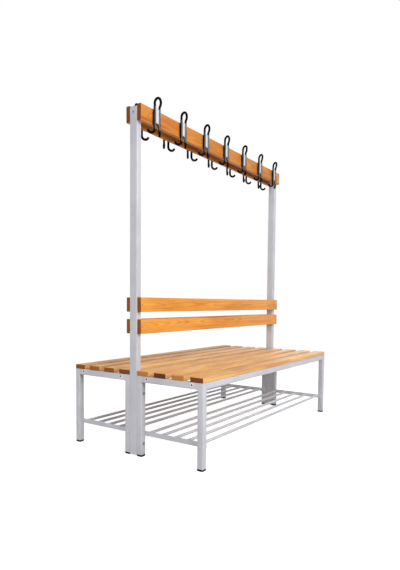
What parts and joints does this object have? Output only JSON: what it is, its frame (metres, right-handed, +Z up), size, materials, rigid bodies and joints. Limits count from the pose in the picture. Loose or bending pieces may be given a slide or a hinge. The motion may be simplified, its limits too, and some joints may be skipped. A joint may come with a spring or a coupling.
{
  "type": "double-sided cloakroom bench",
  "caption": "Double-sided cloakroom bench with slatted seats, backrest boards, shoe racks below, and rows of wire hat and coat hooks on two boards between steel uprights.",
  "frame": {"origin": "on the floor, at the middle of the bench's length and depth", "axes": "+X along the bench, -Y out of the front, +Z up"},
  "size_m": [1.5, 0.805, 1.7105],
  "materials": {
    "painted_steel": "satin",
    "wood": "satin",
    "black_plastic": "matte",
    "coated_wire": "gloss",
    "zinc_plate": "satin"
  },
  "bodies": {
    "root": {"bench_frame_front": "painted_steel", "shoe_rack_front": "painted_steel", "foot_front_inner_left": "black_plastic", "foot_front_outer_left": "black_plastic", "foot_front_inner_right": "black_plastic", "foot_front_outer_right": "black_plastic", "seat_slat_front_1": "wood", "seat_slat_front_2": "wood", "seat_slat_front_3": "wood", "seat_slat_front_4": "wood", "bench_frame_rear": "painted_steel", "shoe_rack_rear": "painted_steel", "foot_rear_inner_left": "black_plastic", "foot_rear_outer_left": "black_plastic", "foot_rear_inner_right": "black_plastic", "foot_rear_outer_right": "black_plastic", "seat_slat_rear_1": "wood", "seat_slat_rear_2": "wood", "seat_slat_rear_3": "wood", "seat_slat_rear_4": "wood", "upright_left": "painted_steel", "upright_cap_left": "black_plastic", "upright_right": "painted_steel", "upright_cap_right": "black_plastic", "head_rail": "painted_steel", "back_board_front_upper": "wood", "back_board_front_lower": "wood", "hook_board_front": "wood", "hook_wire_front_1": "coated_wire", "hook_saddle_front_1": "zinc_plate", "hook_wire_front_2": "coated_wire", "hook_saddle_front_2": "zinc_plate", "hook_wire_front_3": "coated_wire", "hook_saddle_front_3": "zinc_plate", "hook_wire_front_4": "coated_wire", "hook_saddle_front_4": "zinc_plate", "hook_wire_front_5": "coated_wire", "hook_saddle_front_5": "zinc_plate", "hook_wire_front_6": "coated_wire", "hook_saddle_front_6": "zinc_plate", "hook_wire_front_7": "coated_wire", "hook_saddle_front_7": "zinc_plate", "back_board_rear_upper": "wood", "back_board_rear_lower": "wood", "hook_board_rear": "wood", "hook_wire_rear_1": "coated_wire", "hook_saddle_rear_1": "zinc_plate", "hook_wire_rear_2": "coated_wire", "hook_saddle_rear_2": "zinc_plate", "hook_wire_rear_3": "coated_wire", "hook_saddle_rear_3": "zinc_plate", "hook_wire_rear_4": "coated_wire", "hook_saddle_rear_4": "zinc_plate", "hook_wire_rear_5": "coated_wire", "hook_saddle_rear_5": "zinc_plate", "hook_wire_rear_6": "coated_wire", "hook_saddle_rear_6": "zinc_plate", "hook_wire_rear_7": "coated_wire", "hook_saddle_rear_7": "zinc_plate"}
  },
  "joints": []
}
